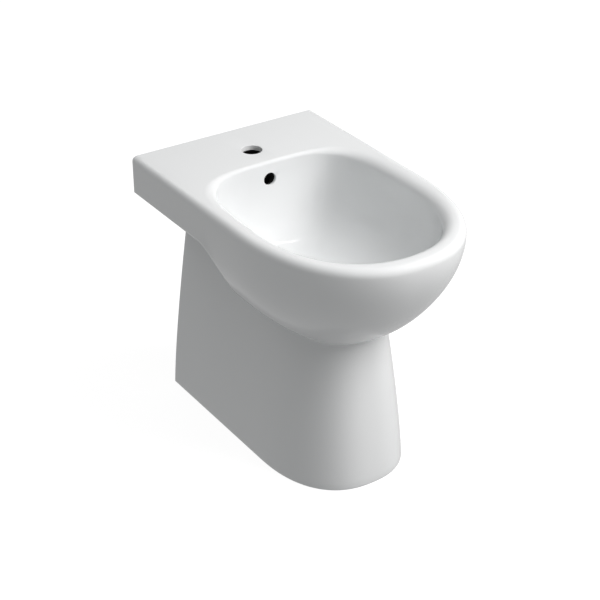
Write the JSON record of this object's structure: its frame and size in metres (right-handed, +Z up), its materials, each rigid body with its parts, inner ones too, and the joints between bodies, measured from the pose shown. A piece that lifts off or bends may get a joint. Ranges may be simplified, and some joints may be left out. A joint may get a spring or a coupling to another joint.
{
  "type": "floor standing bidet",
  "caption": "Back to wall ceramic bidet with tap deck, overflow, hollow pedestal, click plug waste and bottle trap.",
  "frame": {"origin": "on the floor, at the middle of the bounding box's underside", "axes": "+Z up, -Y towards the front of the bowl, +Y towards the wall, +X to the right as seen from the front"},
  "size_m": [0.36, 0.555, 0.464],
  "materials": {
    "china": "gloss white glaze",
    "chrome": "polished chrome on brass",
    "brass": "machined",
    "steel": "plain stainless",
    "rubber": "matt",
    "plastic": "white moulded polypropylene"
  },
  "bodies": {
    "bidet": {"ceramic_body": "china", "flange_gasket": "rubber", "waste_body": "chrome", "click_cartridge": "brass", "click_spring": "steel", "cone_gasket": "rubber", "slip_washer": "plastic", "back_nut": "brass", "inlet_seal": "rubber", "inlet_nut": "plastic", "inlet_tube": "plastic", "tube_seal": "rubber", "tube_nut": "plastic", "trap_body": "plastic", "trap_cup": "plastic", "cup_seal": "rubber", "outlet_seal": "rubber", "outlet_nut": "plastic", "outlet_pipe": "plastic"},
    "plug": {"click_plunger": "steel", "plug_cap": "chrome", "plug_seal": "rubber"}
  },
  "joints": [
    {"name": "plug_slide", "type": "slide", "parent": "bidet", "child": "plug", "axis": [0, 0, 1], "range_m": [0, 0.01], "deforming": ["click_spring"]}
  ]
}
